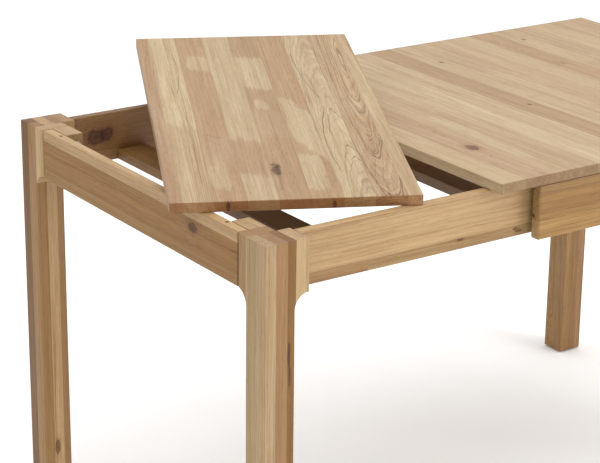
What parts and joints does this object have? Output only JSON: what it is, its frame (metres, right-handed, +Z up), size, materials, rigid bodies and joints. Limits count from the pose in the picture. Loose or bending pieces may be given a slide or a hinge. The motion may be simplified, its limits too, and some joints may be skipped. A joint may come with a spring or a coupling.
{
  "type": "extendable dining table",
  "caption": "Solid oak dining table whose end frame slides out on grooved side aprons; a loose leaf lies askew over the open frame",
  "frame": {"origin": "floor level, under the middle of the whole drawn-out table with its leaf lying askew on it", "axes": "+Z up; +X along the table from the sliding end to the fixed end; +Y from the front long side to the rear one"},
  "size_m": [1.3854, 0.9224, 0.8139],
  "materials": {
    "oak_top": "oiled",
    "oak_leaf": "oiled",
    "oak_leg": "oiled",
    "oak_rail": "oiled",
    "oak_board": "oiled",
    "oak_block": "planed",
    "beech": "waxed",
    "steel": "zinc plated",
    "nylon": "matt"
  },
  "bodies": {
    "table_body": {"batten_screw_1_front": "steel", "batten_screw_1_rear": "steel", "batten_screw_2_front": "steel", "batten_screw_2_rear": "steel", "batten_screw_3_front": "steel", "batten_screw_3_rear": "steel", "fixed_bolt_lower_front": "steel", "fixed_bolt_lower_rear": "steel", "fixed_bolt_upper_front": "steel", "fixed_bolt_upper_rear": "steel", "fixed_corner_block_front": "oak_block", "fixed_corner_block_rear": "oak_block", "fixed_end_apron": "oak_rail", "fixed_glide_front": "nylon", "fixed_glide_rear": "nylon", "fixed_leg_front": "oak_leg", "fixed_leg_rear": "oak_leg", "side_apron_front": "oak_rail", "side_apron_rear": "oak_rail", "stop_pin_front": "steel", "stop_pin_rear": "steel", "table_top": "oak_top", "top_batten_front": "oak_board", "top_batten_rear": "oak_board"},
    "end_frame": {"corner_block_front": "oak_block", "corner_block_rear": "oak_block", "cross_board_inner": "oak_board", "cross_board_outer": "oak_board", "glide_front": "nylon", "glide_rear": "nylon", "guide_strip_front": "beech", "guide_strip_rear": "beech", "leg_bolt_lower_front": "steel", "leg_bolt_lower_rear": "steel", "leg_bolt_upper_front": "steel", "leg_bolt_upper_rear": "steel", "rail_front": "oak_rail", "rail_rear": "oak_rail", "sliding_end_apron": "oak_rail", "sliding_leg_front": "oak_leg", "sliding_leg_rear": "oak_leg"},
    "leaf_body": {"leaf": "oak_leaf", "leaf_pin_front": "steel", "leaf_pin_rear": "steel"}
  },
  "joints": [
    {"name": "end_frame_slide", "type": "slide", "parent": "table_body", "child": "end_frame", "axis": [1, 0, 0], "range_m": [0, 0.4555]},
    {"name": "leaf_lift", "type": "slide", "parent": "table_body", "child": "leaf_body", "axis": [0, 0, 1], "range_m": [0, 0.3]}
  ]
}
